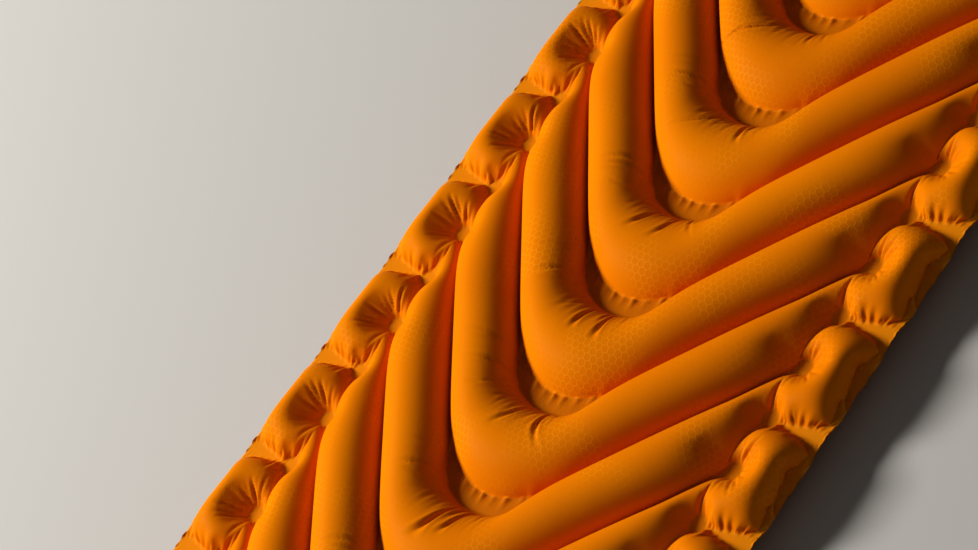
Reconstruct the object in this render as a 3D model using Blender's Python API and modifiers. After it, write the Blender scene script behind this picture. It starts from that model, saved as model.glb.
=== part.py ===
"""Inflatable sleeping pad: two sheets welded along nested V seams, with two flip-cap valves.

Metres, +Z up. X runs across the pad, Y along it with the head end at +Y, and Z = 0 is the
ground under the inflated pad. The Vs open towards the head.
"""

import math

import bmesh
import bpy
import numpy as np
from mathutils import Matrix, Vector

# Pad
LENGTH = 1.83
WIDTH = 0.584
THICKNESS = 0.065
CORNER_RADIUS = 0.085
SHEET = 0.0006           # coated fabric, both layers of coating included
GAP = 0.0003             # between pieces that touch

# Seams
PITCH = 0.119            # along the rail, from one V seam to the next
SEAM_REACH = 0.227       # half the distance between the two ends of a V seam
SLOPE = 1.33             # rise of a V arm along Y for each metre across X
APEX_RADIUS = 0.08       # the arc that joins the two arms
FIRST_SEAM_Y = -0.83     # rail end of the seam nearest the foot
SEAM_COUNT = 17
END_MARGIN = 0.065       # seams stay this far from the two end edges
FLANGE = 0.008           # welded edge round the pad
SEAM_HALF_WIDTH = 0.002
CREST_FLATTENING = 1.16  # a round tube this much taller than the pad has its crest cut level
SEAM_POINTS = 181
SHORT_SEAM_POINTS = 27
ROWS_PER_PITCH = 4
COLUMNS = (0.0, 0.03, 0.062, SEAM_REACH, 0.256, WIDTH / 2 - FLANGE, WIDTH / 2)

# Valves
VALVE_X = 0.226
VALVE_Y = 0.847
VALVE_Z = THICKNESS      # outer face of the flat patch that the valve sits on
PATCH_HALF = 0.031
VALVE_CLEARANCE = 0.054  # seams stop this far from a valve's centre
SIDES = 28
SMALL_SIDES = 16
HOLE_SIDES = 12
CHAMFER = 0.0012
FINE_CHAMFER = 0.0006
PORT_RADIUS = 0.0125
COLLAR_RADIUS = 0.0172
COLLAR_TOP = 0.0075
COLLAR_BOTTOM = -0.0085
FLANGE_RADIUS = 0.027
FLANGE_TOP = 0.0015
LIP_RADIUS = 0.0205
LIP_THICKNESS = 0.0015
LIP_CHAMFER = 0.0005
CAP_RADIUS = 0.019
CAP_TOP = 0.0103
BITE = 0.002             # how far joined shapes run into the cap
TAB_HALF = 0.0055
TAB_REACH = 0.006
TAB_LOW = 0.0005
TAB_HIGH = 0.0019
PLUG_RADIUS = 0.0105
PLUG_LIP_RADIUS = 0.0115
PLUG_BOTTOM = 0.004
PLUG_LIP = 0.0012
SEAL_HEIGHT = 0.0016
SEAL_BULGE = 0.0004
HINGE_REACH = 0.0215     # from the port's centre to the hinge axis
HINGE_HEIGHT = 0.0065
KNUCKLE_RADIUS = 0.0022
KNUCKLE_HALF = 0.0037
LUG_THICKNESS = 0.0025
LUG_DROP = 0.0013        # from the collar's top edge down to the lug's arm
LUG_INSET = 0.0003       # the lug's arm is this much slimmer than its eye
PIN_RADIUS = 0.0009
PIN_END = 0.0004         # the pin shows this much past each lug
GRILLE_TOP = -0.002
GRILLE_THICKNESS = 0.0015
AIR_HOLES = 6
AIR_HOLE_RADIUS = 0.0027
AIR_HOLE_REACH = 0.0072
HOLE_DEPTH = 0.004
FLAP_RADIUS = 0.0105
FLAP_THICKNESS = 0.0008
FLAP_TRAVEL = 0.002      # how far the flap drops along its stem to let air in
STEM_RADIUS = 0.0012
STEM_HEAD_RADIUS = 0.0026
STEM_HEAD = 0.0007

MIDDLE = THICKNESS / 2
HALF_TUBE = PITCH / 2 * math.cos(math.atan(SLOPE))
RISE = MIDDLE - GAP / 2 - SHEET


def clear_scene():
    for item in list(bpy.data.objects):
        bpy.data.objects.remove(item, do_unlink=True)


def new_collection(name):
    collection = bpy.data.collections.new(name)
    bpy.context.scene.collection.children.link(collection)
    return collection


def material(name, colour, roughness, metallic=0.0):
    made = bpy.data.materials.new(name)
    made.use_nodes = True
    shader = made.node_tree.nodes["Principled BSDF"]
    shader.inputs["Base Color"].default_value = (*colour, 1.0)
    shader.inputs["Roughness"].default_value = roughness
    shader.inputs["Metallic"].default_value = metallic
    made.diffuse_color = (*colour, 1.0)
    return made


def object_from(name, mesh_maker, collection, finish=None):
    mesh = bpy.data.meshes.new(name)
    mesh_maker.to_mesh(mesh)
    mesh_maker.free()
    made = bpy.data.objects.new(name, mesh)
    collection.objects.link(made)
    if finish:
        mesh.materials.append(finish)
    return made


# ---------------------------------------------------------------- seams


def seam_drop(x):
    """How far a V seam lies towards the foot from its rail ends, at x across the pad."""
    steep = math.hypot(1, SLOPE)
    arc_half = APEX_RADIUS * SLOPE / steep
    aside = min(abs(x), SEAM_REACH)
    straight = SLOPE * (SEAM_REACH - max(aside, arc_half))
    return straight + math.sqrt(APEX_RADIUS**2 - min(aside, arc_half) ** 2) - APEX_RADIUS / steep


def seam_rail_y(index):
    return FIRST_SEAM_Y + index * PITCH


def v_seam_points():
    """Points along every V seam, which stops short of the ends and of the valves."""
    points = []
    for index in range(SEAM_COUNT):
        for x in np.linspace(-SEAM_REACH, SEAM_REACH, SEAM_POINTS):
            y = seam_rail_y(index) - seam_drop(x)
            clear_of_valve = math.hypot(abs(x) - VALVE_X, y - VALVE_Y) > VALVE_CLEARANCE
            if abs(y) < LENGTH / 2 - END_MARGIN and clear_of_valve:
                points.append((x, y))
    return points


def edge_seam_points():
    """Short seams that run in from the long edges, half a pitch away from the V seams."""
    points = []
    for index in range(SEAM_COUNT - 1):
        y = seam_rail_y(index) + PITCH / 2
        if y < VALVE_Y - 2 * PATCH_HALF:
            for x in np.linspace(SEAM_REACH, WIDTH / 2, SHORT_SEAM_POINTS):
                points += [(x, y), (-x, y)]
    return points


def edge_distance(x, y):
    """Distance in from the pad's rounded outline."""
    across = abs(x) - (WIDTH / 2 - CORNER_RADIUS)
    along = abs(y) - (LENGTH / 2 - CORNER_RADIUS)
    if across > 0 and along > 0:
        return CORNER_RADIUS - math.hypot(across, along)
    return CORNER_RADIUS - max(across, along)


def beside_valve(x, y):
    reach = PATCH_HALF + 1e-6
    return abs(abs(x) - VALVE_X) < reach and abs(y - VALVE_Y) < reach


def tube_rise(x, y, seams):
    """Height of the inflated sheet over the weld plane: round flanks and a flattened crest."""
    nearest = np.hypot(seams[:, 0] - x, seams[:, 1] - y).min() - SEAM_HALF_WIDTH
    distance = max(0.0, min(nearest, edge_distance(x, y) - FLANGE))
    share = min(1.0, distance / (HALF_TUBE - SEAM_HALF_WIDTH))
    flattened = CREST_FLATTENING * math.sqrt(share * (2 - share))
    return RISE * min(1.0, flattened)


# ---------------------------------------------------------------- sheets


def bisect(flat, point, normal, clear=False, faces=None):
    """Cuts the faces given, or the whole sheet, along a plane."""
    if faces is None:
        geometry = flat.verts[:] + flat.edges[:] + flat.faces[:]
    else:
        corners = {corner for face in faces for corner in face.verts}
        sides = {side for face in faces for side in face.edges}
        geometry = list(corners) + list(sides) + faces
    bmesh.ops.bisect_plane(flat, geom=geometry, dist=1e-6, plane_co=point, plane_no=normal,
                           clear_outer=clear)


def faces_near(flat, centre):
    return [face for face in flat.faces
            if (face.calc_center_median() - centre).length < 2 * PATCH_HALF]


def trim_to_outline(flat):
    """Cuts the sheet to its rounded rectangle, one edge of the outline at a time."""
    corner_steps = 5
    for side_x in (-1, 1):
        for side_y in (-1, 1):
            centre = Vector((side_x * (WIDTH / 2 - CORNER_RADIUS),
                             side_y * (LENGTH / 2 - CORNER_RADIUS), 0))
            for step in range(corner_steps + 1):
                angle = math.pi / 2 * step / corner_steps
                normal = Vector((side_x * math.cos(angle), side_y * math.sin(angle), 0))
                bisect(flat, centre + normal * CORNER_RADIUS, normal, clear=True)


def seam_following_grid():
    """A flat grid whose rows run along the V seams, trimmed to the pad's outline."""
    row_step = PITCH / ROWS_PER_PITCH
    lowest = -math.ceil(LENGTH / 2 / row_step) - 1
    rows = int(2 * -lowest + 2 * PITCH / row_step + ROWS_PER_PITCH)
    columns = [-x for x in reversed(COLUMNS[1:])] + list(COLUMNS)
    flat = bmesh.new()
    bmesh.ops.create_grid(flat, x_segments=len(columns) - 1, y_segments=rows, size=0.5)
    shift = FIRST_SEAM_Y % row_step
    for vertex in flat.verts:
        column = round((vertex.co.x + 0.5) * (len(columns) - 1))
        row = round((vertex.co.y + 0.5) * rows)
        x = columns[column]
        vertex.co = (x, (lowest + row) * row_step + shift - seam_drop(x), 0)
    trim_to_outline(flat)
    for side in (-1, 1):
        for inset in (FLANGE, END_MARGIN / 2):
            bisect(flat, Vector((0, side * (LENGTH / 2 - inset), 0)), Vector((0, 1, 0)))
        centre = Vector((side * VALVE_X, VALVE_Y, 0))
        for axis in (Vector((1, 0, 0)), Vector((0, 1, 0))):
            for reach in (-PATCH_HALF, PATCH_HALF):
                bisect(flat, centre + axis * reach, axis, faces=faces_near(flat, centre))
    return flat


def make_sheet(name, side, collection, finish):
    """side is 1 for the top sheet and -1 for the bottom one."""
    flat = seam_following_grid()
    seams = np.array(v_seam_points() + edge_seam_points())
    for vertex in flat.verts:
        x, y, _ = vertex.co
        if side > 0 and beside_valve(x, y):
            vertex.co.z = VALVE_Z - SHEET
        else:
            vertex.co.z = MIDDLE + side * (GAP / 2 + tube_rise(x, y, seams))
    bmesh.ops.triangulate(flat, faces=flat.faces)
    made = object_from(name, flat, collection, finish)
    thicken = made.modifiers.new("thickness", "SOLIDIFY")
    thicken.thickness = SHEET
    thicken.offset = side
    return made


# ---------------------------------------------------------------- turned and cut pieces


def turned(name, profile, collection, finish, place):
    """A profile of (radius, height) points turned about Z; one that leaves the axis is closed."""
    outline = bmesh.new()
    corners = [outline.verts.new((radius, 0, height)) for radius, height in profile]
    following = corners[1:] if profile[0][0] == 0 else corners[1:] + corners[:1]
    for first, second in zip(corners, following):
        outline.edges.new((first, second))
    made = object_from(name, outline, collection, finish)
    spin = made.modifiers.new("turn", "SCREW")
    spin.steps = spin.render_steps = SIDES
    spin.use_merge_vertices = True
    spin.merge_threshold = 1e-5
    made.location = place
    return made


def block(name, low, high, collection, place):
    maker = bmesh.new()
    bmesh.ops.create_cube(maker, size=1.0)
    low, high = Vector(low), Vector(high)
    for vertex in maker.verts:
        vertex.co = [(low[i] + high[i]) / 2 + vertex.co[i] * (high[i] - low[i]) for i in range(3)]
    made = object_from(name, maker, collection)
    made.location = place
    return made


def rod(name, radius, low, high, collection, place, axis="Z", at=(0, 0, 0), sides=SIDES):
    """A cylinder from low to high along its axis."""
    maker = bmesh.new()
    bmesh.ops.create_cone(maker, cap_ends=True, segments=sides, radius1=radius, radius2=radius,
                          depth=high - low)
    bmesh.ops.translate(maker, verts=maker.verts, vec=(0, 0, (low + high) / 2))
    if axis == "X":
        bmesh.ops.rotate(maker, verts=maker.verts, matrix=Matrix.Rotation(math.pi / 2, 3, "Y"))
    bmesh.ops.translate(maker, verts=maker.verts, vec=at)
    made = object_from(name, maker, collection)
    made.location = place
    return made


def combine(base, tool, operation):
    tool.hide_render = True
    tool.display_type = "WIRE"
    change = base.modifiers.new(tool.name, "BOOLEAN")
    change.operation = operation
    change.solver = "EXACT"
    change.object = tool


def shade_round(item):
    item.data.shade_smooth()
    item.data.set_sharp_from_angle(angle=math.radians(35))


# ---------------------------------------------------------------- valves


class Valve:
    """One flip-cap valve on the head end of the top sheet; side is -1 or 1 across the pad."""

    def __init__(self, prefix, side, parts, cutters, finishes):
        self.prefix = prefix
        self.parts = parts
        self.cutters = cutters
        self.finishes = finishes
        self.place = Vector((side * VALVE_X, VALVE_Y, VALVE_Z))
        self.hinge = self.place + Vector((0, -HINGE_REACH, HINGE_HEIGHT))

    def name(self, piece):
        return f"{self.prefix}_{piece}"

    def helper(self, piece):
        return f"{self.prefix}_{piece}_shape"

    def make_flange(self):
        hole = COLLAR_RADIUS + GAP
        profile = [(FLANGE_RADIUS, FLANGE_TOP / 2), (FLANGE_RADIUS, GAP), (hole, GAP),
                   (hole, FLANGE_TOP), (FLANGE_RADIUS - CHAMFER, FLANGE_TOP)]
        turned(self.name("flange"), profile, self.parts, self.finishes["flange"], self.place)

    def make_collar(self):
        lip_bottom = FLANGE_TOP + GAP
        lip_top = lip_bottom + LIP_THICKNESS
        profile = [(COLLAR_RADIUS - CHAMFER, COLLAR_TOP), (COLLAR_RADIUS, COLLAR_TOP - CHAMFER),
                   (COLLAR_RADIUS, lip_top), (LIP_RADIUS, lip_top - LIP_CHAMFER),
                   (LIP_RADIUS, lip_bottom), (COLLAR_RADIUS, lip_bottom),
                   (COLLAR_RADIUS, COLLAR_BOTTOM), (PORT_RADIUS, COLLAR_BOTTOM),
                   (PORT_RADIUS, COLLAR_TOP - FINE_CHAMFER),
                   (PORT_RADIUS + FINE_CHAMFER, COLLAR_TOP)]
        collar = turned(self.name("collar"), profile, self.parts, self.finishes["collar"], self.place)
        for side in (-1, 1):
            inner = side * (KNUCKLE_HALF + GAP)
            outer = side * (KNUCKLE_HALF + GAP + LUG_THICKNESS)
            low, high = min(inner, outer), max(inner, outer)
            arm = block(self.helper(f"lug_arm{side}"),
                        (low + LUG_INSET, -HINGE_REACH, HINGE_HEIGHT - KNUCKLE_RADIUS + LUG_INSET),
                        (high - LUG_INSET, -COLLAR_RADIUS + KNUCKLE_RADIUS, COLLAR_TOP - LUG_DROP),
                        self.cutters, self.place)
            eye = rod(self.helper(f"lug_eye{side}"), KNUCKLE_RADIUS, low, high, self.cutters, self.place,
                      axis="X", at=(0, -HINGE_REACH, HINGE_HEIGHT), sides=SMALL_SIDES)
            combine(collar, arm, "UNION")
            combine(collar, eye, "UNION")
        self.bore_hinge(collar)
        shade_round(collar)

    def bore_hinge(self, piece):
        reach = KNUCKLE_HALF + GAP + 2 * LUG_THICKNESS
        bore = rod(piece.name + "_bore_shape", PIN_RADIUS + GAP, -reach, reach, self.cutters, self.place,
                   axis="X", at=(0, -HINGE_REACH, HINGE_HEIGHT), sides=SMALL_SIDES)
        combine(piece, bore, "DIFFERENCE")

    def make_hinge_pin(self):
        reach = KNUCKLE_HALF + GAP + LUG_THICKNESS + PIN_END
        pin = rod(self.name("hinge_pin"), PIN_RADIUS, -reach, reach, self.parts, self.hinge, axis="X",
                  sides=SMALL_SIDES)
        pin.data.materials.append(self.finishes["pin"])
        shade_round(pin)

    def make_cap(self):
        """The lid with its plug, finger tab and hinge knuckle."""
        skirt = COLLAR_TOP + GAP
        profile = [(0, CAP_TOP), (CAP_RADIUS - CHAMFER, CAP_TOP), (CAP_RADIUS, CAP_TOP - CHAMFER),
                   (CAP_RADIUS, skirt), (PLUG_RADIUS, skirt), (PLUG_RADIUS, PLUG_BOTTOM + PLUG_LIP),
                   (PLUG_LIP_RADIUS, PLUG_BOTTOM + PLUG_LIP), (PLUG_LIP_RADIUS, PLUG_BOTTOM),
                   (0, PLUG_BOTTOM)]
        cap = turned(self.name("cap"), profile, self.parts, self.finishes["cap"], self.place)
        tab = block(self.helper("tab"), (-TAB_HALF, CAP_RADIUS - BITE, skirt + TAB_LOW),
                    (TAB_HALF, CAP_RADIUS + TAB_REACH, skirt + TAB_HIGH), self.cutters, self.place)
        web = block(self.helper("web"), (-KNUCKLE_HALF, -HINGE_REACH, skirt),
                    (KNUCKLE_HALF, -CAP_RADIUS + BITE, CAP_TOP - FINE_CHAMFER), self.cutters, self.place)
        knuckle = rod(self.helper("knuckle"), KNUCKLE_RADIUS, -KNUCKLE_HALF, KNUCKLE_HALF, self.cutters,
                      self.place, axis="X", at=(0, -HINGE_REACH, HINGE_HEIGHT),
                      sides=SMALL_SIDES)
        for added in (tab, web, knuckle):
            combine(cap, added, "UNION")
        self.bore_hinge(cap)
        shade_round(cap)
        return cap

    def make_cap_seal(self):
        inner, outer = PLUG_RADIUS + GAP, PORT_RADIUS - GAP
        low = PLUG_BOTTOM + PLUG_LIP + GAP
        high = low + SEAL_HEIGHT
        profile = [(inner, high), (outer - SEAL_BULGE, high), (outer, (low + high) / 2),
                   (outer - SEAL_BULGE, low), (inner, low)]
        return turned(self.name("cap_seal"), profile, self.parts, self.finishes["seal"], self.place)

    def make_cap_pivot(self):
        """The cap and its seal turn about the hinge pin's axis."""
        pivot = bpy.data.objects.new(self.name("cap_pivot"), None)
        self.cutters.objects.link(pivot)
        pivot.location = self.hinge
        for rider in (self.make_cap(), self.make_cap_seal()):
            rider.parent = pivot
            rider.location = self.place - self.hinge

    def make_grille(self, with_stem):
        """The guard across the port, with openings for air and, under a flap, one for its stem."""
        radius = PORT_RADIUS - GAP
        grille = rod(self.name("grille"), radius, GRILLE_TOP - GRILLE_THICKNESS, GRILLE_TOP, self.parts,
                     self.place)
        grille.data.materials.append(self.finishes["collar"])
        low, high = GRILLE_TOP - HOLE_DEPTH, GRILLE_TOP + HOLE_DEPTH
        for number in range(AIR_HOLES):
            turn = math.tau * number / AIR_HOLES
            centre = (AIR_HOLE_REACH * math.cos(turn), AIR_HOLE_REACH * math.sin(turn), 0)
            hole = rod(self.helper(f"air_hole{number}"), AIR_HOLE_RADIUS, low, high, self.cutters,
                       self.place, at=centre, sides=HOLE_SIDES)
            combine(grille, hole, "DIFFERENCE")
        if with_stem:
            hole = rod(self.helper("stem_hole"), STEM_RADIUS + GAP, low, high, self.cutters,
                       self.place, sides=HOLE_SIDES)
            combine(grille, hole, "DIFFERENCE")
        shade_round(grille)

    def make_flap(self):
        """The one-way disc under the grille, and the headed stem that it slides down."""
        top = GRILLE_TOP - GRILLE_THICKNESS - GAP
        inner = STEM_RADIUS + GAP
        profile = [(FLAP_RADIUS, top), (FLAP_RADIUS, top - FLAP_THICKNESS),
                   (inner, top - FLAP_THICKNESS), (inner, top)]
        turned(self.name("check_flap"), profile, self.parts, self.finishes["seal"], self.place)
        foot = top - FLAP_THICKNESS - FLAP_TRAVEL - GAP
        head = GRILLE_TOP + GAP
        profile = [(0, head + STEM_HEAD), (STEM_HEAD_RADIUS - FINE_CHAMFER, head + STEM_HEAD),
                   (STEM_HEAD_RADIUS, head), (STEM_RADIUS, head), (STEM_RADIUS, foot),
                   (STEM_HEAD_RADIUS, foot),
                   (STEM_HEAD_RADIUS, foot - STEM_HEAD), (0, foot - STEM_HEAD)]
        turned(self.name("flap_stem"), profile, self.parts, self.finishes["seal"], self.place)

    def open_sheet(self, sheet):
        port = rod(self.helper("port"), COLLAR_RADIUS + GAP, -HOLE_DEPTH, HOLE_DEPTH, self.cutters,
                   self.place)
        combine(sheet, port, "DIFFERENCE")

    def make(self, sheet, one_way):
        self.open_sheet(sheet)
        self.make_flange()
        self.make_collar()
        self.make_hinge_pin()
        self.make_cap_pivot()
        self.make_grille(one_way)
        if one_way:
            self.make_flap()


def main():
    clear_scene()
    parts = new_collection("sleeping_pad")
    cutters = new_collection("cutters")
    fabric = material("coated_fabric", (0.84, 0.33, 0.02), 0.5)
    finishes = {
        "flange": material("weld_film", (0.80, 0.36, 0.06), 0.4),
        "collar": material("valve_plastic", (0.05, 0.05, 0.055), 0.42),
        "cap": material("cap_plastic", (0.10, 0.10, 0.11), 0.36),
        "seal": material("silicone", (0.42, 0.43, 0.44), 0.55),
        "pin": material("steel", (0.62, 0.62, 0.63), 0.3, 1.0),
    }
    top = make_sheet("top_sheet", 1, parts, fabric)
    make_sheet("bottom_sheet", -1, parts, fabric)
    Valve("inflate", -1, parts, cutters, finishes).make(top, one_way=True)
    Valve("deflate", 1, parts, cutters, finishes).make(top, one_way=False)


main()
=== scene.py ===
import math

import bpy
import numpy as np
from mathutils import Matrix, Vector


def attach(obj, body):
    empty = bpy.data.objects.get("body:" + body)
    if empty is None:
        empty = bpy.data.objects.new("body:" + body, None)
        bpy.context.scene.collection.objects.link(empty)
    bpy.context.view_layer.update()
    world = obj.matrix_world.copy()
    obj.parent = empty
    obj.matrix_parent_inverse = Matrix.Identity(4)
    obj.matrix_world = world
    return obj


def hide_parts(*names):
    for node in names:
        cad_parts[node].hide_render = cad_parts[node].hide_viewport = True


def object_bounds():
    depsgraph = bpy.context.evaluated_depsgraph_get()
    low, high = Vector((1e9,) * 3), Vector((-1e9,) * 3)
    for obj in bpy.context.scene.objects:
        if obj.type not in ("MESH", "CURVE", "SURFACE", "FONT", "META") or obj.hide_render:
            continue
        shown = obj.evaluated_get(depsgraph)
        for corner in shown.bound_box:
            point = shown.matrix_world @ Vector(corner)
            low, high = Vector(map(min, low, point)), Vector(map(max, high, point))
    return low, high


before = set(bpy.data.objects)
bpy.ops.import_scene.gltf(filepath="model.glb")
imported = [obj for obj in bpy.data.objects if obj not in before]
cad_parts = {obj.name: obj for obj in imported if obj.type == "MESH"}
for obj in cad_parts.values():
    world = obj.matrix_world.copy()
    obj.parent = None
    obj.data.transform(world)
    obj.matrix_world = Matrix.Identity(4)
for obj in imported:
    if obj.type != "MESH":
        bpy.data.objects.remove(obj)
CAD_LOW, CAD_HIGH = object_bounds()

# The welded pad, in metres: V seams between two rails of lobes, as in the CAD part.
LENGTH, WIDTH, THICKNESS = 1.83, 0.584, 0.065
CORNER_RADIUS = 0.085
PITCH = 0.119
REACH = 0.227
SLOPE, APEX_RADIUS = 1.33, 0.08
FIRST_Y, SEAMS = -0.83, 17
END_MARGIN = 0.065
EDGE_WELD = 0.008
SEAM_HALF = 0.002
CRESCENT_HALF, CRESCENT_REACH = 0.0085, 0.07
DOT_RADIUS = 0.009
RISE = 0.0317
WELD_Z = THICKNESS / 2
WELD_LIFT = 0.0004
GRID_MARGIN = 0.004  # how far past the rim the grid goes before it is trimmed

# The short seams from the rim to a second row of round welds, half way between the V seams: their
# half width at each distance from the centre line, and how near the pad's foot they start.
TAB_OUT = [REACH, REACH + 0.015, WIDTH / 2 - 0.022, WIDTH / 2 - 0.008, WIDTH / 2]
TAB_HALF = [0.0012, 0.0012, 0.0075, 0.0095, 0.003]
TAB_DOT_OUT = 0.002
TAB_MARGIN = 0.05

# The underside: its depth against the top's, where it is levelled, and the flange's blend into it.
UNDER_SHARE, GROUND, FLANGE_BLEND = 0.97, 0.0012, 0.004

# The same seams on the flat sheet, before air shortens it.
FLAT_PITCH, FLAT_SLOPE, FLAT_RAIL = 0.133, 1.063, 1.22
FLAT_RADIUS = APEX_RADIUS * math.atan(SLOPE) / math.atan(FLAT_SLOPE)
ARC_POINTS, FLAT_EXCESS = 2001, 1.4

# The fabric: its colours, and the sizes of its ripstop honeycomb and its weave.
ORANGE, ORANGE_DEEP = (0.79, 0.231, 0.0005, 1), (0.73, 0.202, 0.0005, 1)
ORANGE_THREAD, ORANGE_WELD = (0.90, 0.39, 0.012, 1), (0.74, 0.265, 0.008, 1)
# The apex weld colour and its share are painted shade: a darker copy of the weld colour for the apex
# welds, which lie in shade between the tubes.
APEX_PAINTED_SHADE = (0.50, 0.142, 0.002, 1)
THREAD_TINT, WELD_TINT, APEX_SHADE_SHARE = 0.28, 0.75, 0.85
RIPSTOP_CELL, THREAD_SHARE = 0.0072, 0.11
WEAVE, WEAVE_SKEW = 2 * math.pi / 0.0007, 0.06

# Folds across the tube at each apex: where along the seam, how deep, how they lie, and their ends.
FOLD_PLACES = np.array([-0.060, -0.047, -0.036, -0.021, -0.007, 0.003, 0.013, 0.022])
FOLD_DEPTHS = np.array([0.0016, 0.0024, 0.0011, 0.0010, 0.0036, 0.0012, 0.0028, 0.0012])
FOLD_JITTER, FOLD_VARIETY = 0.002, (0.6, 1.15)
FOLD_LEAN, LEAN_SPREAD, BOW_SPREAD, FOLD_FAN = -0.1, 0.06, 2.0, 3
FOLD_START, FOLD_LENGTH, LENGTH_SPREAD, LENGTH_PER_DEPTH = (0.010, 0.015), 0.020, 0.005, 7
FOLD_RUN_IN, FOLD_RUN_OUT = 0.006, 0.012
FOLD_REACH = 0.085
FOLD_WIDTH = 0.0022
FOLD_SHARPNESS, SWELL, SWELL_AT = 1.4, 0.3, 2.2
SEEDED_SHARE, SEEDED_LIMIT = 0.3, 0.5
FINAL_WIDTH, FINAL_SHARE, FINAL_LIMIT = FOLD_WIDTH * 0.5, 0.9, 0.6

# Folds that run out from each round weld into the rail: how many, between which angles, their size.
DOT_FOLDS, DOT_FOLD_FROM, DOT_FOLD_SWEEP, DOT_FOLD_SPAN = 8, -1.0, 2.5, 0.6
DOT_DEPTH, DOT_FOLD_WIDTH = 0.0032, 0.0013
DOT_FOLD_LENGTH, DOT_LENGTH_SPREAD, DOT_FOLD_RUN_OUT = 0.036, 0.006, 0.014

# How far the round welds draw the fabric in: share, distance, and how it fades across the rail's
# line and below the seam.
DOT_TAUT, TAUT_REACH = 0.2, 0.024
TAUT_FADE_X, TAUT_FADE_Y, TAUT_LEAST = 0.02, 0.01, 0.4

# Cones over the round welds that the sheet stays under: slope, how much less on the rail's side and
# over what width that changes, the height where they level out, and the height at the weld.
FUNNEL_SLOPE, FUNNEL_EASE, FUNNEL_FADE, FUNNEL_TOP, FUNNEL_FOOT = 1.35, 0.4, 0.02, 0.06, 0.001
TAB_FUNNEL_SLOPE = 1.2

# Gathers along the outer side of each apex weld, and in the weld itself.
PUCKER, PUCKER_REACH, PUCKER_HEIGHT, PUCKER_SPAN = 0.0095, 0.009, 0.0012, CRESCENT_REACH * 1.1
RIPPLE, RIPPLE_HEIGHT, CROWN_HEIGHT = 1.5 * PUCKER, 0.0034, 0.0009

# The two valves at the head: the welded patch, its port, and how far the seams keep away.
VALVE_X, VALVE_Y = 0.226, 0.847
PATCH = 0.029
PORT = 0.0172
PATCH_CLEAR, TAB_CLEAR = PATCH * 1.8, 2 * PATCH

# The first guess at the shape.
TUBE_HALF, WELD_SPREAD, PATCH_SHOULDER = 0.034, 0.002, 0.03

# The grid: rows to a pitch, and the columns' distances from the centre line with the step from each.
ROWS_PER_PITCH = 15
COLUMN_STEPS = [(0.0, 0.005), (0.075, 0.01), (0.187, 0.0046), (REACH, 0.0043), (WIDTH / 2, None)]

# The solver: steps and push for each grid, the rim weld's play, and the unevenness it starts from.
LEVELS = [(300, 2e-4), (150, 1e-4), (50, 5e-5)]
RIM_PLAY, RIM_FLARE = 0.0005, 0.0035
CRUMPLE, RIM_CRUMPLE = 1.5e-4, 6e-4
SIDE_STRIP = 0.05
SLICE_ROWS, SLICE_MARGIN = 8, 0.08
SEED = 5
FLOAT = np.float32


# ---------------------------------------------------------------- the cloth


def seam_drop(x, slope=SLOPE, radius=APEX_RADIUS, reach=REACH):
    """How far a V seam has come down at x from its ends at the rails: two arms and an arc."""
    steep = math.hypot(1, slope)
    half = radius * slope / steep
    aside = np.minimum(np.abs(x), reach)
    bent = np.sqrt(radius**2 - np.minimum(aside, half) ** 2) - radius / steep
    return slope * (reach - np.maximum(aside, half)) + bent


def seam_slope(x, slope=SLOPE, radius=APEX_RADIUS):
    """The seam's rise at x for each metre across: steady on the arms, less along the arc."""
    half = radius * slope / math.hypot(1, slope)
    inside = np.clip(x, -half, half)
    return inside / np.sqrt(radius**2 - inside**2)


def halved(values):
    """The same places with one more between each two."""
    out = np.empty(2 * len(values) - 1)
    out[::2] = values
    out[1::2] = (values[1:] + values[:-1]) / 2
    return out


def refined(points):
    """The grid with each cell split in four, on a smooth curve through its points."""
    for axis in (0, 1):
        p = np.moveaxis(points, axis, 0)
        ends = np.concatenate([2 * p[:1] - p[1:2], p, 2 * p[-1:] - p[-2:-1]])
        out = np.empty((2 * len(p) - 1, *p.shape[1:]), p.dtype)
        out[::2] = p
        out[1::2] = (9 * (p[1:] + p[:-1]) - ends[:-3] - ends[3:]) / 16
        points = np.moveaxis(out, 0, axis)
    return np.ascontiguousarray(points)


def column_places(finer):
    """Distances from the centre line, closer together where the sheet bends most."""
    half = []
    for (start, step), (stop, _) in zip(COLUMN_STEPS, COLUMN_STEPS[1:]):
        count = max(1, round((stop - start) / step))
        half += list(start + (stop - start) * np.arange(count) / count)
    half = np.array(half + [WIDTH / 2])
    places = np.concatenate([-half[:0:-1], half])
    for _ in range(finer):
        places = halved(places)
    return places


def flat_columns(x):
    """Where each column lay on the flat sheet, if the seams keep their length."""
    line = np.linspace(0, REACH, ARC_POINTS)

    def arc(slope, radius, across):
        slopes = seam_slope(across, slope, radius)
        steps = np.hypot(1, (slopes[1:] + slopes[:-1]) / 2) * np.diff(across)
        return np.concatenate([[0], np.cumsum(steps)])

    welded, flat_line = arc(SLOPE, APEX_RADIUS, line), line * FLAT_EXCESS
    flat = arc(FLAT_SLOPE, FLAT_RADIUS, flat_line)
    along = np.interp(np.minimum(np.abs(x), REACH), line, welded)
    places = np.interp(along, flat, flat_line) + np.maximum(np.abs(x) - REACH, 0) * FLAT_RAIL
    return np.sign(x) * places, np.interp(welded[-1], flat, flat_line)


def outline_distance(x, y):
    """How far inside the rounded outline a point is."""
    across = np.abs(x) - (WIDTH / 2 - CORNER_RADIUS)
    along = np.abs(y) - (LENGTH / 2 - CORNER_RADIUS)
    in_corner = (across > 0) & (along > 0)
    return np.where(
        in_corner,
        CORNER_RADIUS - np.hypot(np.maximum(across, 0), np.maximum(along, 0)),
        CORNER_RADIUS - np.maximum(across, along),
    )


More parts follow.
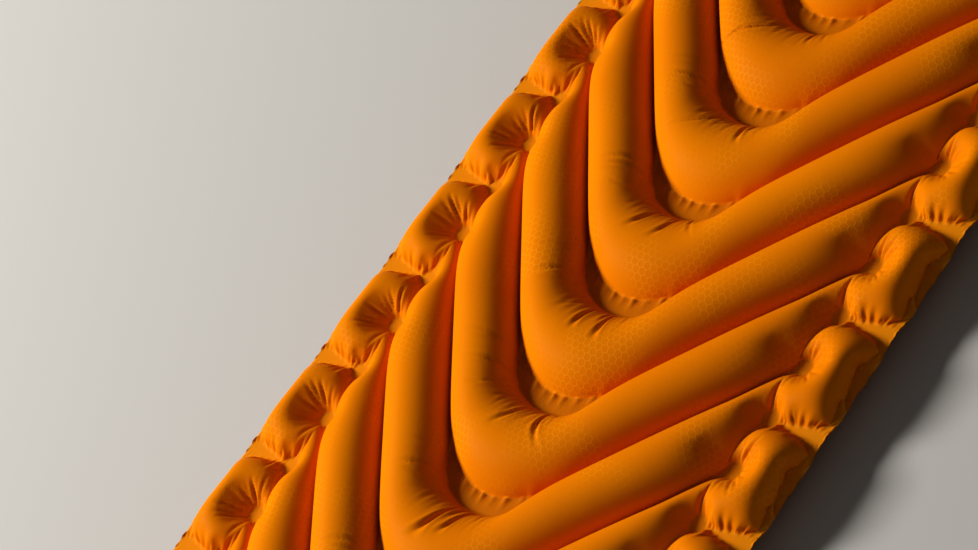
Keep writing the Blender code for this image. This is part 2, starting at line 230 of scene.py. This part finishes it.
class Pattern:
    """The grid that follows the seams, halved `finer` times, with what is welded where.

    x and y are places on the blown-up pad, and v is where a row meets the rails, so a V seam is one
    row. off is the distance from the nearest seam, along the distance along it, and flat the place
    on the sheet before it was blown up.
    """

    def __init__(self, finer):
        row = PITCH / ROWS_PER_PITCH
        below = math.ceil((LENGTH / 2 + FIRST_Y) / row) + 1
        above = int((LENGTH / 2 - FIRST_Y + seam_drop(0.0)) / row) + 2
        columns = column_places(finer)
        rows = FIRST_Y + row * np.arange(-below, above)
        for _ in range(finer):
            rows = halved(rows)
        self.x = np.broadcast_to(columns, (len(rows), len(columns))).copy()
        self.v = np.broadcast_to(rows[:, None], self.x.shape)
        self.y = self.v - seam_drop(self.x)
        self.edge = outline_distance(self.x, self.y)
        self.aside = np.abs(self.x)
        self.from_valve = np.hypot(self.aside - VALVE_X, self.y - VALVE_Y)
        self.weld()
        self.flatten(columns)

    def weld(self):
        seam = np.round((self.v - FIRST_Y) / PITCH)
        real = (seam >= 0) & (seam < SEAMS)
        rail = FIRST_Y + seam * PITCH
        slope = seam_slope(self.x) * (self.aside <= REACH)
        self.off = (self.v - rail) / np.hypot(1, slope)
        seam_y = rail - seam_drop(self.x)
        live = real & (np.abs(seam_y) < LENGTH / 2 - END_MARGIN)
        live &= np.hypot(self.aside - VALVE_X, seam_y - VALVE_Y) > PATCH_CLEAR
        crescent = CRESCENT_HALF * np.clip(1 - np.abs(self.x / CRESCENT_REACH) ** 3, 0, 1)
        self.crescent_half = SEAM_HALF + crescent
        self.live_seam = live
        self.seams = live & (self.aside <= REACH) & (np.abs(self.off) <= self.crescent_half)
        # The crescent mask marks the apex welds, where the colour is darkened with painted shade, since
        # they lie in shade between the tubes.
        self.crescent = self.seams * np.clip(crescent / SEAM_HALF, 0, 1)
        low_rail = rail < VALVE_Y - PATCH_CLEAR
        self.dot_y = self.y - rail
        from_dot = np.where(real & low_rail, np.hypot(self.aside - REACH, self.dot_y), 1.0)
        half_way = FIRST_Y + (np.floor((self.v - FIRST_Y) / PITCH) + 0.5) * PITCH
        tabs = (half_way < VALVE_Y - TAB_CLEAR) & (half_way > TAB_MARGIN - LENGTH / 2)
        away = np.abs(self.y - half_way)
        tab_seams = tabs & (self.aside >= REACH) & (away < np.interp(self.aside, TAB_OUT, TAB_HALF))
        from_tab_dot = np.where(tabs, np.hypot(self.aside - REACH - TAB_DOT_OUT, away), 1.0)
        dots = (from_dot < DOT_RADIUS) | (from_tab_dot < DOT_RADIUS)
        inner = np.clip(0.5 + (REACH - self.aside) / TAUT_FADE_X, 0, 1)
        inner = inner * np.clip(0.5 + self.off / TAUT_FADE_Y, TAUT_LEAST, 1)
        past = np.maximum(from_dot - DOT_RADIUS, 0) / TAUT_REACH
        self.tautness = 1 - inner * DOT_TAUT * np.exp(-(past**2))
        self.welded = self.seams | dots | tab_seams
        self.flange = self.edge < EDGE_WELD
        self.side = self.flange & (np.abs(self.y) < LENGTH / 2 - CORNER_RADIUS)
        self.outside = self.edge < -GRID_MARGIN
        self.patch = self.from_valve < PATCH
        self.free = ~(self.welded | self.outside | self.patch)
        self.along = self.x * np.hypot(1, slope / 2)

    def flatten(self, columns):
        flat_x, reach = flat_columns(columns)
        drop = seam_drop(flat_x, FLAT_SLOPE, FLAT_RADIUS, reach)
        flat_y = (self.v - FIRST_Y) * FLAT_PITCH / PITCH - drop
        self.flat = np.stack([np.broadcast_to(flat_x, flat_y.shape), flat_y], -1)

    def weld_distance(self):
        """Rough distance of each grid point from the nearest weld."""
        welded = self.welded[::2]
        seam_x, seam_y = self.x[::2][welded], self.y[::2][welded]
        found = np.full(self.x.shape, 1.0)
        for start in range(0, len(self.x), SLICE_ROWS):
            rows = slice(start, start + SLICE_ROWS)
            near = seam_y > self.y[rows].min() - SLICE_MARGIN
            near &= seam_y < self.y[rows].max() + SLICE_MARGIN
            if near.any():
                across = self.x[rows, :, None] - seam_x[near]
                along = self.y[rows, :, None] - seam_y[near]
                found[rows] = np.sqrt((across**2 + along**2).min(2))
        return found


def first_shape(pattern):
    """A smooth guess at the blown-up sheet."""
    distance = np.minimum(pattern.weld_distance() - WELD_SPREAD, pattern.edge - EDGE_WELD)
    share = np.clip(distance / TUBE_HALF, 0, 1)
    height = RISE * np.sqrt(share * (2 - share))
    blend = np.clip((pattern.from_valve - PATCH) / PATCH_SHOULDER, 0, 1)
    shoulder = height * blend + RISE * (1 - blend)
    height = np.where(pattern.from_valve < PATCH + PATCH_SHOULDER, shoulder, height)
    return np.stack([pattern.x, pattern.y, height], -1).astype(FLOAT)


def dot_funnels(points):
    """How high the sheet may stand near the round welds that draw it down."""
    aside, y = np.abs(points[..., 0]), points[..., 1]
    seam = np.clip(np.round((y - FIRST_Y) / PITCH), 0, SEAMS - 1)
    up, out = y - FIRST_Y - seam * PITCH, aside - REACH
    away = np.hypot(out, up)
    steep = FUNNEL_SLOPE - FUNNEL_EASE * np.clip(0.5 + out / FUNNEL_FADE, 0, 1)
    first = FUNNEL_TOP * (1 - np.exp((DOT_RADIUS - away) * steep / FUNNEL_TOP)) + FUNNEL_FOOT
    first = np.where(FIRST_Y + seam * PITCH < VALVE_Y - PATCH_CLEAR, first, 1)
    half_way = FIRST_Y + (np.floor((y - FIRST_Y) / PITCH) + 0.5) * PITCH
    from_tab_dot = np.hypot(aside - REACH - TAB_DOT_OUT, y - half_way)
    second = TAB_FUNNEL_SLOPE * (from_tab_dot - DOT_RADIUS) + FUNNEL_FOOT
    second = np.where(half_way < VALVE_Y - TAB_CLEAR, second, 1)
    return np.maximum(np.minimum(first, second), 0).astype(FLOAT)


class Cloth:
    """Air under a sheet held at its welds: a push along the normals, then lengths put right.

    Each family of springs joins points so many rows and columns apart, with a stiffness and, for
    bending, how much shorter they may get before they push back.
    """

    STRETCH = [(0, 1, 1.0, 0), (1, 0, 1.0, 0), (1, 1, 0.5, 0), (1, -1, 0.5, 0)]
    STIFF = [(0, 2, 0.8, 0), (2, 0, 0.6, 0), (0, 4, 0.5, 0.01), (4, 0, 0.3, 0.02)]
    LIMP = [(0, 2, 0.3, 0.01), (2, 0, 0.3, 0.01), (0, 4, 0.25, 0.03), (4, 0, 0.25, 0.03)]

    def __init__(self, pattern, points, bend):
        self.pattern, self.points = pattern, points
        reach = int((pattern.aside[0] > REACH - SIDE_STRIP).sum()) // 2
        self.sides = [slice(0, reach), slice(-reach, None)]
        held = ~pattern.free
        points[held, 0], points[held, 1] = pattern.x[held], pattern.y[held]
        points[pattern.welded | pattern.outside, 2] = 0
        points[pattern.patch, 2] = RISE
        self.weight = pattern.free.astype(FLOAT)
        self.stretch = [(*f, self.pairs(f[0], f[1])) for f in self.STRETCH]
        self.bend = [(*f, self.pairs(f[0], f[1])) for f in bend]

    def pairs(self, down, along):
        rows, cols = self.weight.shape
        flat = self.pattern.flat
        first = (slice(0, rows - down), slice(max(0, -along), cols - max(0, along)))
        second = (slice(down, rows), slice(max(0, along), cols - max(0, -along)))
        taut = (self.pattern.tautness[first] + self.pattern.tautness[second]) / 2
        return (np.linalg.norm(flat[second] - flat[first], axis=-1) * taut).astype(FLOAT)

    def settle(self, first, second, length, stiff, slack):
        a, b = self.points[first], self.points[second]
        wa, wb = self.weight[first], self.weight[second]
        n, m = min(len(a), len(b)), min(a.shape[1], b.shape[1])
        a, b, wa, wb, length = a[:n, :m], b[:n, :m], wa[:n, :m], wb[:n, :m], length[:n, :m]
        step = b - a
        now = np.sqrt(np.einsum("ijk,ijk->ij", step, step)) + 1e-9
        error = now - length
        if slack:
            error = np.minimum(error + slack * length, 0)
        step *= (stiff * error / (now * np.maximum(wa + wb, 1e-6)))[..., None]
        a += step * wa[..., None]
        b -= step * wb[..., None]

    def correct(self, family):
        down, along, stiff, slack, length = family
        rows, cols = self.weight.shape
        left = slice(max(0, -along), cols - max(0, along))
        right = slice(max(0, along), cols - max(0, -along))
        for s in range(2 * max(down, along)):
            if down:
                first, second = slice(s, rows - down, 2 * down), slice(s + down, rows, 2 * down)
                self.settle((first, left), (second, right), length[s :: 2 * down], stiff, slack)
            else:
                first = slice(s, cols - along, 2 * along)
                second = slice(s + along, cols, 2 * along)
                every = slice(None)
                self.settle((every, first), (every, second), length[:, s :: 2 * along], stiff, slack)

    def blow(self, steps, push):
        points, pattern = self.points, self.pattern
        blown = (self.weight * ~pattern.flange * push).astype(FLOAT)[..., None]
        flare = RIM_FLARE * np.clip(1 - pattern.edge / EDGE_WELD, 0, 1)
        rim = np.where(pattern.side, RIM_PLAY + flare, 0)[pattern.flange].astype(FLOAT)
        for _ in range(steps):
            points += grid_normals(points) * blown
            for _ in range(2):
                for family in self.stretch:
                    self.correct(family)
            for family in self.bend:
                self.correct(family)
            flange_z = np.clip(points[pattern.flange, 2], -rim, rim)
            np.maximum(points[..., 2], 0, out=points[..., 2])
            for columns in self.sides:
                strip = points[:, columns]
                np.minimum(strip[..., 2], dot_funnels(strip), out=strip[..., 2])
            points[pattern.flange, 2] = flange_z


def fold_profile(across):
    """A sharp valley with a slight rise on either side."""
    beside = np.exp(-((np.abs(across) - SWELL_AT) ** 2))
    return np.exp(-np.abs(across) ** FOLD_SHARPNESS) - SWELL * beside


def crease_inner_bends(pattern, rng, width, share):
    """How deep the folds are that fan out from each seam's apex over the tube below it.

    Every seam draws its random numbers, even one that isn't there, so that the others don't change.
    """
    slope = seam_slope(pattern.x)
    seam = np.ceil((pattern.v - FIRST_Y) / PITCH)
    below = (FIRST_Y + seam * PITCH - pattern.v) / np.hypot(1, slope)
    foot = pattern.x - below * slope / np.hypot(1, slope)
    near = (np.abs(foot) < FOLD_REACH) & pattern.free
    depth_at = np.zeros(pattern.x.shape)
    for number in range(SEAMS):
        apex = FIRST_Y + number * PITCH - seam_drop(0.0)
        here = near & (seam == number) & (abs(apex) < LENGTH / 2 - END_MARGIN)
        places = FOLD_PLACES + rng.normal(0, FOLD_JITTER, len(FOLD_PLACES))
        depths = FOLD_DEPTHS * rng.uniform(*FOLD_VARIETY, len(FOLD_DEPTHS))
        for place, depth in zip(places, depths):
            start = rng.uniform(*FOLD_START)
            stop = start + FOLD_LENGTH + LENGTH_PER_DEPTH * depth + rng.uniform(0, LENGTH_SPREAD)
            lean, bow = rng.normal(FOLD_LEAN, LEAN_SPREAD), rng.normal(0, BOW_SPREAD)
            if not here.any():
                continue
            s, t = foot[here], below[here]
            line = place * (1 + FOLD_FAN * t) + lean * t + bow * t * t
            reach = np.clip((t - start) / FOLD_RUN_IN, 0, 1) * np.clip((stop - t) / FOLD_RUN_OUT, 0, 1)
            depth_at[here] += depth * reach * fold_profile((s - line) / width)
    return share * depth_at


def crease_dots(pattern, points):
    """How deep the folds are that run out from the round welds into the rail.

    The sines make the folds of one weld unlike those of the next, the same way each run.
    """
    out, up = np.abs(points[..., 0]) - REACH, pattern.dot_y + points[..., 1] - pattern.y
    away, angle = np.hypot(out, up), np.arctan2(up, out)
    seam = np.round((pattern.v - FIRST_Y) / PITCH)
    side = (points[..., 0] > 0) * 17
    depth_at = np.zeros(pattern.x.shape)
    for number in range(DOT_FOLDS):
        middle = DOT_FOLD_FROM + DOT_FOLD_SWEEP * (number + 0.5) / DOT_FOLDS
        middle = middle + 0.09 * np.sin(seam * 12.9 + side + number * 4.7)
        depth = DOT_DEPTH * (0.7 + 0.3 * np.sin(seam * 7.3 + side + number * 2.9))
        length = DOT_FOLD_LENGTH + DOT_LENGTH_SPREAD * np.sin(seam * 3.1 + side + number * 5.3)
        reach = np.clip((away - DOT_RADIUS) / FOLD_RUN_IN, 0, 1)
        reach = reach * np.clip((length - away) / DOT_FOLD_RUN_OUT, 0, 1)
        across = (angle - middle) * away / DOT_FOLD_WIDTH
        depth_at += depth * reach * fold_profile(across) * (np.abs(angle - middle) < DOT_FOLD_SPAN)
    return depth_at * pattern.free * ~pattern.flange


def pucker_feet(pattern, points):
    """Starts the small gathers along the outer side of each apex weld."""
    above = pattern.off - pattern.crescent_half
    reach = np.clip(1 - above / PUCKER_REACH, 0, 1) * (above > 0) * pattern.live_seam
    reach = reach * np.clip(1 - (pattern.x / PUCKER_SPAN) ** 2, 0, 1)
    wave = np.cos(2 * math.pi * pattern.along / PUCKER)
    points[..., 2] += pattern.free * reach * PUCKER_HEIGHT * wave


def grid_normals(points):
    """The sheet's normal at each point of the grid."""
    across, down = np.zeros_like(points), np.zeros_like(points)
    across[:, 1:-1] = points[:, 2:] - points[:, :-2]
    down[1:-1] = points[2:] - points[:-2]
    normal = np.cross(across, down)
    return normal / (np.linalg.norm(normal, axis=-1, keepdims=True) + 1e-12)


def ripple_crescents(pattern, points):
    """The shallow gathers in the flat apex welds, deepest along their outer side."""
    share = np.clip(0.5 + pattern.off / (2 * pattern.crescent_half), 0, 1)
    turn = 2 * math.pi * pattern.along / RIPPLE
    wave = (0.5 + 0.5 * np.cos(turn + 0.9 * np.sin(pattern.along * 90))) ** 2
    wave *= 0.7 + 0.3 * np.sin(pattern.along * 210 + pattern.v * 37)
    width = np.clip((pattern.crescent_half - SEAM_HALF) / CRESCENT_HALF, 0, 1)
    height = RIPPLE_HEIGHT * wave * share**3 + CROWN_HEIGHT * np.sin(math.pi * share)
    points[..., 2] += pattern.seams * width * height


def inflate():
    """Blows the sheet up on a coarse grid, then on finer ones: with and without the added folds."""
    points = None
    for finer, (steps, push) in enumerate(LEVELS):
        pattern = Pattern(finer)
        points = first_shape(pattern) if points is None else refined(points)
        rng = np.random.default_rng(SEED + finer)
        if finer > 0:
            folds = np.random.default_rng(SEED)
            depth = crease_inner_bends(pattern, folds, FOLD_WIDTH * (3 - finer), SEEDED_SHARE)
            points[..., 2] -= np.minimum(depth, points[..., 2] * SEEDED_LIMIT)
        if finer == 2:
            pucker_feet(pattern, points)
        points[..., 2] += pattern.free * ~pattern.flange * rng.normal(0, CRUMPLE, pattern.x.shape)
        if finer == 0:
            points[..., 2] += pattern.side * pattern.free * rng.normal(0, RIM_CRUMPLE, pattern.x.shape)
        Cloth(pattern, points, Cloth.LIMP if finer else Cloth.STIFF).blow(steps, push)
    plain = points.copy()
    depth = crease_inner_bends(pattern, np.random.default_rng(SEED), FINAL_WIDTH, FINAL_SHARE)
    depth = np.minimum(depth + crease_dots(pattern, points), points[..., 2] * FINAL_LIMIT)
    points -= grid_normals(points) * depth[..., None].astype(FLOAT)
    ripple_crescents(pattern, points)
    return pattern, points, plain


class Thinned:
    """Every second row and column of a pattern, for the sheet that is out of sight."""

    def __init__(self, pattern):
        for name in ("edge", "flat", "welded", "flange", "crescent"):
            setattr(self, name, getattr(pattern, name)[::2, ::2])


def sheet_mesh(name, pattern, points, side):
    """The trimmed sheet: side 1 faces up and has the valves' ports, -1 faces down."""

    def any_corner(inside):
        return inside[:-1, :-1] | inside[1:, :-1] | inside[:-1, 1:] | inside[1:, 1:]

    keep = pattern.edge >= 0
    if side > 0:
        keep &= pattern.from_valve > PORT
    faces_in = any_corner(keep)
    if side > 0:
        faces_in &= ~any_corner(pattern.from_valve < PORT)
    placed = points.astype(np.float64)
    over = pattern.edge < 0
    step = 1e-5
    for _ in range(2):
        x, y = placed[..., 0], placed[..., 1]
        edge = outline_distance(x, y)
        gx = (outline_distance(x + step, y) - edge) / step
        gy = (outline_distance(x, y + step) - edge) / step
        size = np.maximum(np.hypot(gx, gy), 1e-6)
        placed[..., 0] = np.where(over, x - edge * gx / size, x)
        placed[..., 1] = np.where(over, y - edge * gy / size, y)
    if side < 0:
        inward = np.clip((pattern.edge - EDGE_WELD) / FLANGE_BLEND, 0, 1)
        placed[..., 2] *= (1 + UNDER_SHARE) * inward - 1
    placed[..., 2] = np.maximum(WELD_Z + side * (placed[..., 2] + WELD_LIFT), GROUND)
    index = np.arange(placed[..., 0].size).reshape(placed.shape[:2])
    quads = np.stack([index[:-1, :-1], index[:-1, 1:], index[1:, 1:], index[1:, :-1]], -1)[faces_in]
    if side < 0:
        quads = quads[:, ::-1]
    used, faces = np.unique(quads, return_inverse=True)
    faces = faces.reshape(quads.shape)
    mesh = bpy.data.meshes.new(name)
    mesh.vertices.add(len(used))
    mesh.vertices.foreach_set("co", placed.reshape(-1, 3)[used].astype(np.float32).ravel())
    mesh.loops.add(faces.size)
    mesh.loops.foreach_set("vertex_index", faces.astype(np.int32).ravel())
    mesh.polygons.add(len(faces))
    mesh.polygons.foreach_set("loop_start", np.arange(0, faces.size, 4, dtype=np.int32))
    mesh.update(calc_edges=True)
    mesh.validate()
    flat = np.zeros((len(used), 3), np.float32)
    flat[:, :2] = pattern.flat.reshape(-1, 2)[used]
    mesh.attributes.new("flat", "FLOAT_VECTOR", "POINT").data.foreach_set("vector", flat.ravel())
    # The crescent layer marks where the apex welds get painted shade in the fabric's colour.
    for layer, values in (("weld", pattern.welded | pattern.flange), ("crescent", pattern.crescent)):
        values = values.reshape(-1)[used].astype(np.float32)
        mesh.attributes.new(layer, "FLOAT", "POINT").data.foreach_set("value", values)
    mesh.shade_smooth()
    sheet = bpy.data.objects.new(name, mesh)
    bpy.context.scene.collection.objects.link(sheet)
    return sheet


# ------------------------------------------------------------- the materials


class Graph:
    """Short ways to add nodes to a material.

    An input may be a node, a socket or a value; inputs given in order fill the node's first sockets.
    """

    def __init__(self, name):
        self.material = bpy.data.materials.new(name)
        self.material.use_nodes = True
        self.nodes, self.links = self.material.node_tree.nodes, self.material.node_tree.links
        self.shader = self.nodes["Principled BSDF"]

    def add(self, kind, *inputs, **settings):
        node = self.nodes.new(kind)
        for key, value in settings.items():
            setattr(node, key, value)
        for place, value in enumerate(inputs):
            self.put(value, node.inputs[place])
        return node

    def put(self, value, socket):
        if isinstance(value, bpy.types.Node):
            value = value.outputs[0]
        if isinstance(value, bpy.types.NodeSocket):
            self.links.new(value, socket)
        else:
            socket.default_value = value

    def math(self, operation, *inputs):
        return self.add("ShaderNodeMath", *inputs, operation=operation).outputs[0]

    def vector(self, operation, *inputs):
        node = self.add("ShaderNodeVectorMath", *inputs, operation=operation)
        return node.outputs["Value" if operation in ("LENGTH", "DOT_PRODUCT") else "Vector"]

    def noise(self, place, *, scale, detail=2.0, rough=0.5):
        node = self.add("ShaderNodeTexNoise")
        self.put(place, node.inputs["Vector"])
        node.inputs["Scale"].default_value = scale
        node.inputs["Detail"].default_value = detail
        node.inputs["Roughness"].default_value = rough
        return node.outputs["Fac"]

    def ramp(self, value, low, high):
        """0 up to low, 1 from high, and a smooth rise between them."""
        node = self.add("ShaderNodeMapRange", value, low, high, 0.0, 1.0)
        node.interpolation_type = "SMOOTHSTEP"
        return node.outputs[0]

    def mix(self, factor, a, b):
        node = self.add("ShaderNodeMix", data_type="RGBA")
        self.put(factor, node.inputs["Factor"])
        self.put(a, node.inputs["A"])
        self.put(b, node.inputs["B"])
        return node.outputs["Result"]

    def spread(self, value, *, least, by):
        """A value from 0 to 1, spread from least to least + by."""
        return self.math("MULTIPLY_ADD", value, by, least)

    def bump(self, height, *, distance, strength, normal=None):
        node = self.add("ShaderNodeBump")
        node.inputs["Distance"].default_value = distance
        node.inputs["Strength"].default_value = strength
        self.put(height, node.inputs["Height"])
        if normal is not None:
            self.put(normal, node.inputs["Normal"])
        return node.outputs["Normal"]

    def finish(self, **values):
        for name, value in values.items():
            self.put(value, self.shader.inputs[name.replace("_", " ")])
        return self.material


def honeycomb(graph, place, cell):
    """0 in the cells of a honeycomb, 1 on the threads between them."""
    scaled = graph.vector("DIVIDE", place, (cell, cell * math.sqrt(3), 1.0))

    def centred(offset):
        moved = graph.vector("ADD", scaled, offset)
        inside = graph.vector("SUBTRACT", graph.vector("FRACTION", moved), (0.5, 0.5, 0.0))
        flat = graph.vector("MULTIPLY", inside, (1.0, math.sqrt(3), 0.0))
        return graph.vector("ABSOLUTE", flat)

    first, second = centred((0.0, 0.0, 0.0)), centred((0.5, 0.5, 0.0))
    nearer = graph.math("LESS_THAN", graph.vector("LENGTH", first), graph.vector("LENGTH", second))
    chosen = graph.add("ShaderNodeMix", data_type="VECTOR")
    graph.put(nearer, chosen.inputs["Factor"])
    vector_a, vector_b, vector_out = chosen.inputs[4], chosen.inputs[5], chosen.outputs[1]
    graph.put(second, vector_a)
    graph.put(first, vector_b)
    slanted = graph.vector("DOT_PRODUCT", vector_out, (0.5, math.sqrt(0.75), 0.0))
    sideways = graph.add("ShaderNodeSeparateXYZ", vector_out).outputs["X"]
    reach = graph.math("MAXIMUM", slanted, sideways)
    return graph.ramp(reach, 0.5 - THREAD_SHARE, 0.5 - THREAD_SHARE * 0.4)


def fabric_material():
    """Coated nylon: patchy ripstop, a fine weave, paler welds, and apex welds darkened with painted
    shade.
    """
    graph = Graph("coated_fabric")
    flat = graph.add("ShaderNodeAttribute", attribute_name="flat").outputs["Vector"]
    weld = graph.add("ShaderNodeAttribute", attribute_name="weld").outputs["Fac"]
    crescent = graph.add("ShaderNodeAttribute", attribute_name="crescent").outputs["Fac"]
    body = graph.add("ShaderNodeTexCoord").outputs["Object"]
    thread = honeycomb(graph, flat, RIPSTOP_CELL)
    patchy = graph.ramp(graph.noise(body, scale=13.0), 0.47, 0.66)
    thread_seen = graph.math("MULTIPLY", thread, graph.spread(patchy, least=0.08, by=0.92))
    cloudy = graph.ramp(graph.noise(body, scale=5.0, detail=3.0), 0.3, 0.7)
    colour = graph.mix(cloudy, ORANGE, ORANGE_DEEP)
    colour = graph.mix(graph.math("MULTIPLY", thread_seen, THREAD_TINT), colour, ORANGE_THREAD)
    colour = graph.mix(graph.math("MULTIPLY", weld, WELD_TINT), colour, ORANGE_WELD)
    # Painted shade: the apex welds lie between the tubes, so they are mixed towards a darker copy of
    # the weld colour.
    colour = graph.mix(graph.math("MULTIPLY", crescent, APEX_SHADE_SHARE), colour, APEX_PAINTED_SHADE)
    weave = graph.math(
        "MULTIPLY",
        graph.math("SINE", graph.vector("DOT_PRODUCT", flat, (WEAVE, WEAVE * WEAVE_SKEW, 0.0))),
        graph.math("SINE", graph.vector("DOT_PRODUCT", flat, (-WEAVE * WEAVE_SKEW, WEAVE, 0.0))),
    )
    crumple = graph.noise(flat, scale=46.0, detail=4.0, rough=0.55)
    normal = graph.bump(crumple, distance=0.0006, strength=0.3)
    normal = graph.bump(thread_seen, distance=0.0002, strength=0.4, normal=normal)
    normal = graph.bump(weave, distance=0.00003, strength=0.5, normal=normal)
    rough = graph.spread(graph.noise(body, scale=60.0, detail=3.0), least=0.44, by=0.14)
    rough = graph.spread(thread, least=rough, by=-0.06)
    graph.shader.inputs["Sheen Weight"].default_value = 0.012
    graph.shader.inputs["Sheen Roughness"].default_value = 0.45
    graph.shader.inputs["Sheen Tint"].default_value = (1.0, 0.35, 0.01, 1)
    graph.shader.inputs["Specular IOR Level"].default_value = 0.012
    return graph.finish(Base_Color=colour, Roughness=rough, Normal=normal)


def film_material():
    """The welded ring round each valve: shiny film over the fabric, slightly puckered."""
    graph = Graph("weld_film")
    body = graph.add("ShaderNodeTexCoord").outputs["Object"]
    cloudy = graph.ramp(graph.noise(body, scale=70.0, detail=3.0), 0.3, 0.7)
    colour = graph.mix(cloudy, ORANGE_WELD, ORANGE_DEEP)
    puckers = graph.noise(body, scale=260.0, detail=3.0)
    normal = graph.bump(puckers, distance=0.0004, strength=0.35)
    rough = graph.spread(graph.noise(body, scale=400.0), least=0.26, by=0.16)
    return graph.finish(Base_Color=colour, Roughness=rough, Normal=normal)


def moulded_material(name, colour, worn, rough):
    """Moulded plastic or rubber: a fine spark-eroded grain, paler where edges are rubbed."""
    graph = Graph(name)
    body = graph.add("ShaderNodeTexCoord").outputs["Object"]
    edge = graph.ramp(graph.add("ShaderNodeNewGeometry").outputs["Pointiness"], 0.52, 0.60)
    wear = graph.ramp(graph.noise(body, scale=500.0, detail=4.0), 0.35, 0.65)
    rubbed = graph.math("MULTIPLY", edge, wear)
    cloudy = graph.math("MULTIPLY", graph.noise(body, scale=120.0, detail=3.0), 0.35)
    paler = graph.mix(graph.math("MAXIMUM", rubbed, cloudy), colour, worn)
    grain = graph.noise(body, scale=3500.0, rough=0.6)
    normal = graph.bump(grain, distance=0.00008, strength=0.5)
    roughness = graph.spread(graph.noise(body, scale=900.0, detail=3.0), least=rough - 0.09, by=0.18)
    roughness = graph.spread(rubbed, least=roughness, by=-0.08)
    return graph.finish(Base_Color=paler, Roughness=roughness, Normal=normal)


def steel_material():
    """A drawn steel pin, with fine scratches along it."""
    graph = Graph("steel")
    body = graph.add("ShaderNodeTexCoord").outputs["Object"]
    drawn = graph.vector("MULTIPLY", body, (0.06, 1.0, 1.0))
    scratch = graph.noise(drawn, scale=9000.0, detail=3.0)
    streaks = graph.noise(drawn, scale=900.0)
    colour = graph.mix(streaks, (0.50, 0.50, 0.51, 1), (0.66, 0.66, 0.67, 1))
    graph.shader.inputs["Metallic"].default_value = 1.0
    rough = graph.spread(scratch, least=0.2, by=0.2)
    normal = graph.bump(scratch, distance=0.00002, strength=0.4)
    return graph.finish(Base_Color=colour, Roughness=rough, Normal=normal)


fabric = fabric_material()
pattern, top_points, plain_points = inflate()
flat_width = 2 * float(flat_columns(np.array([WIDTH / 2]))[0][0])
top = sheet_mesh("pad_top", pattern, top_points, 1)
top.data.materials.append(fabric)
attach(top, "pad")
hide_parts("top_sheet")
bottom = sheet_mesh("pad_bottom", Thinned(pattern), plain_points[::2, ::2], -1)
bottom.data.materials.append(fabric)
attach(bottom, "pad")
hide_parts("bottom_sheet")

# Each valve's pieces, by the node's name after "inflate_" or "deflate_".
film = film_material()
plastic = moulded_material("valve_plastic", (0.030, 0.031, 0.034, 1), (0.075, 0.075, 0.08, 1), 0.42)
cap_plastic = moulded_material("cap_plastic", (0.052, 0.052, 0.057, 1), (0.13, 0.13, 0.135, 1), 0.36)
silicone = moulded_material("silicone", (0.34, 0.35, 0.36, 1), (0.46, 0.47, 0.48, 1), 0.55)
node_looks = {
    "flange": film,
    "collar": plastic,
    "grille": plastic,
    "cap": cap_plastic,
    "cap_seal": silicone,
    "check_flap": silicone,
    "flap_stem": silicone,
    "hinge_pin": steel_material(),
}
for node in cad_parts:
    part = node.partition("_")[2]
    if part in node_looks:
        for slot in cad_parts[node].material_slots:
            slot.material = node_looks[part]

# ------------------------------------------------------------ floor and light

FLOOR_HALF, FLOOR_GAP = 8, 0.0005
floor_mesh = bpy.data.meshes.new("floor")
corners = [(x * FLOOR_HALF, y * FLOOR_HALF, 0) for x, y in ((-1, -1), (1, -1), (1, 1), (-1, 1))]
floor_mesh.from_pydata(corners, [], [(0, 1, 2, 3)])
floor = bpy.data.objects.new("floor", floor_mesh)
bpy.context.scene.collection.objects.link(floor)
floor.location.z = CAD_LOW.z - FLOOR_GAP
pale = Graph("pale_floor").finish(Base_Color=(0.54, 0.53, 0.51, 1), Roughness=0.8)
floor.data.materials.append(pale)

world = bpy.data.worlds.new("studio")
world.use_nodes = True
background = world.node_tree.nodes["Background"]
background.inputs["Color"].default_value = (1.0, 0.93, 0.84, 1)
background.inputs["Strength"].default_value = 0.07
bpy.context.scene.world = world
bpy.context.scene.view_settings.view_transform = "Standard"
bpy.context.scene.view_settings.look = "Medium High Contrast"


def area_light(name, *, place, target, size, power, colour):
    """A square lamp at a place, facing a target."""
    data = bpy.data.lights.new(name, "AREA")
    data.size, data.energy, data.color = size, power, colour
    lamp = bpy.data.objects.new(name, data)
    bpy.context.scene.collection.objects.link(lamp)
    lamp.location = place
    lamp.rotation_mode = "QUATERNION"
    lamp.rotation_quaternion = (Vector(target) - Vector(place)).to_track_quat("-Z", "Y")


area_light(
    "key",
    place=(-4.727, -2.204, 3.342),
    target=(-0.167, -0.146, 0.03),
    size=1.7,
    power=472,
    colour=(1.0, 0.97, 0.93),
)
area_light("fill", place=(2.4, -2.2, 2.6), target=(0, 0, 0), size=2.5, power=5, colour=(0.9, 0.95, 1.0))

# ------------------------------------------------------------------- camera

camera_data = bpy.data.cameras.new("camera")
camera_data.sensor_width = 36  # millimetres, as is the lens
camera_data.lens = 110.5
camera_data.clip_start, camera_data.clip_end = 0.05, 50
camera = bpy.data.objects.new("camera", camera_data)
bpy.context.scene.collection.objects.link(camera)
place = Vector((1.832, -0.942, 2.132))
right = Vector((0.692873, 0.568388, -0.443692))
forward = Vector((-0.664551, 0.264577, -0.698835))
axes = Matrix([right, right.cross(forward), -forward]).transposed()
camera.matrix_world = Matrix.Translation(place) @ axes.to_4x4()
bpy.context.scene.camera = camera
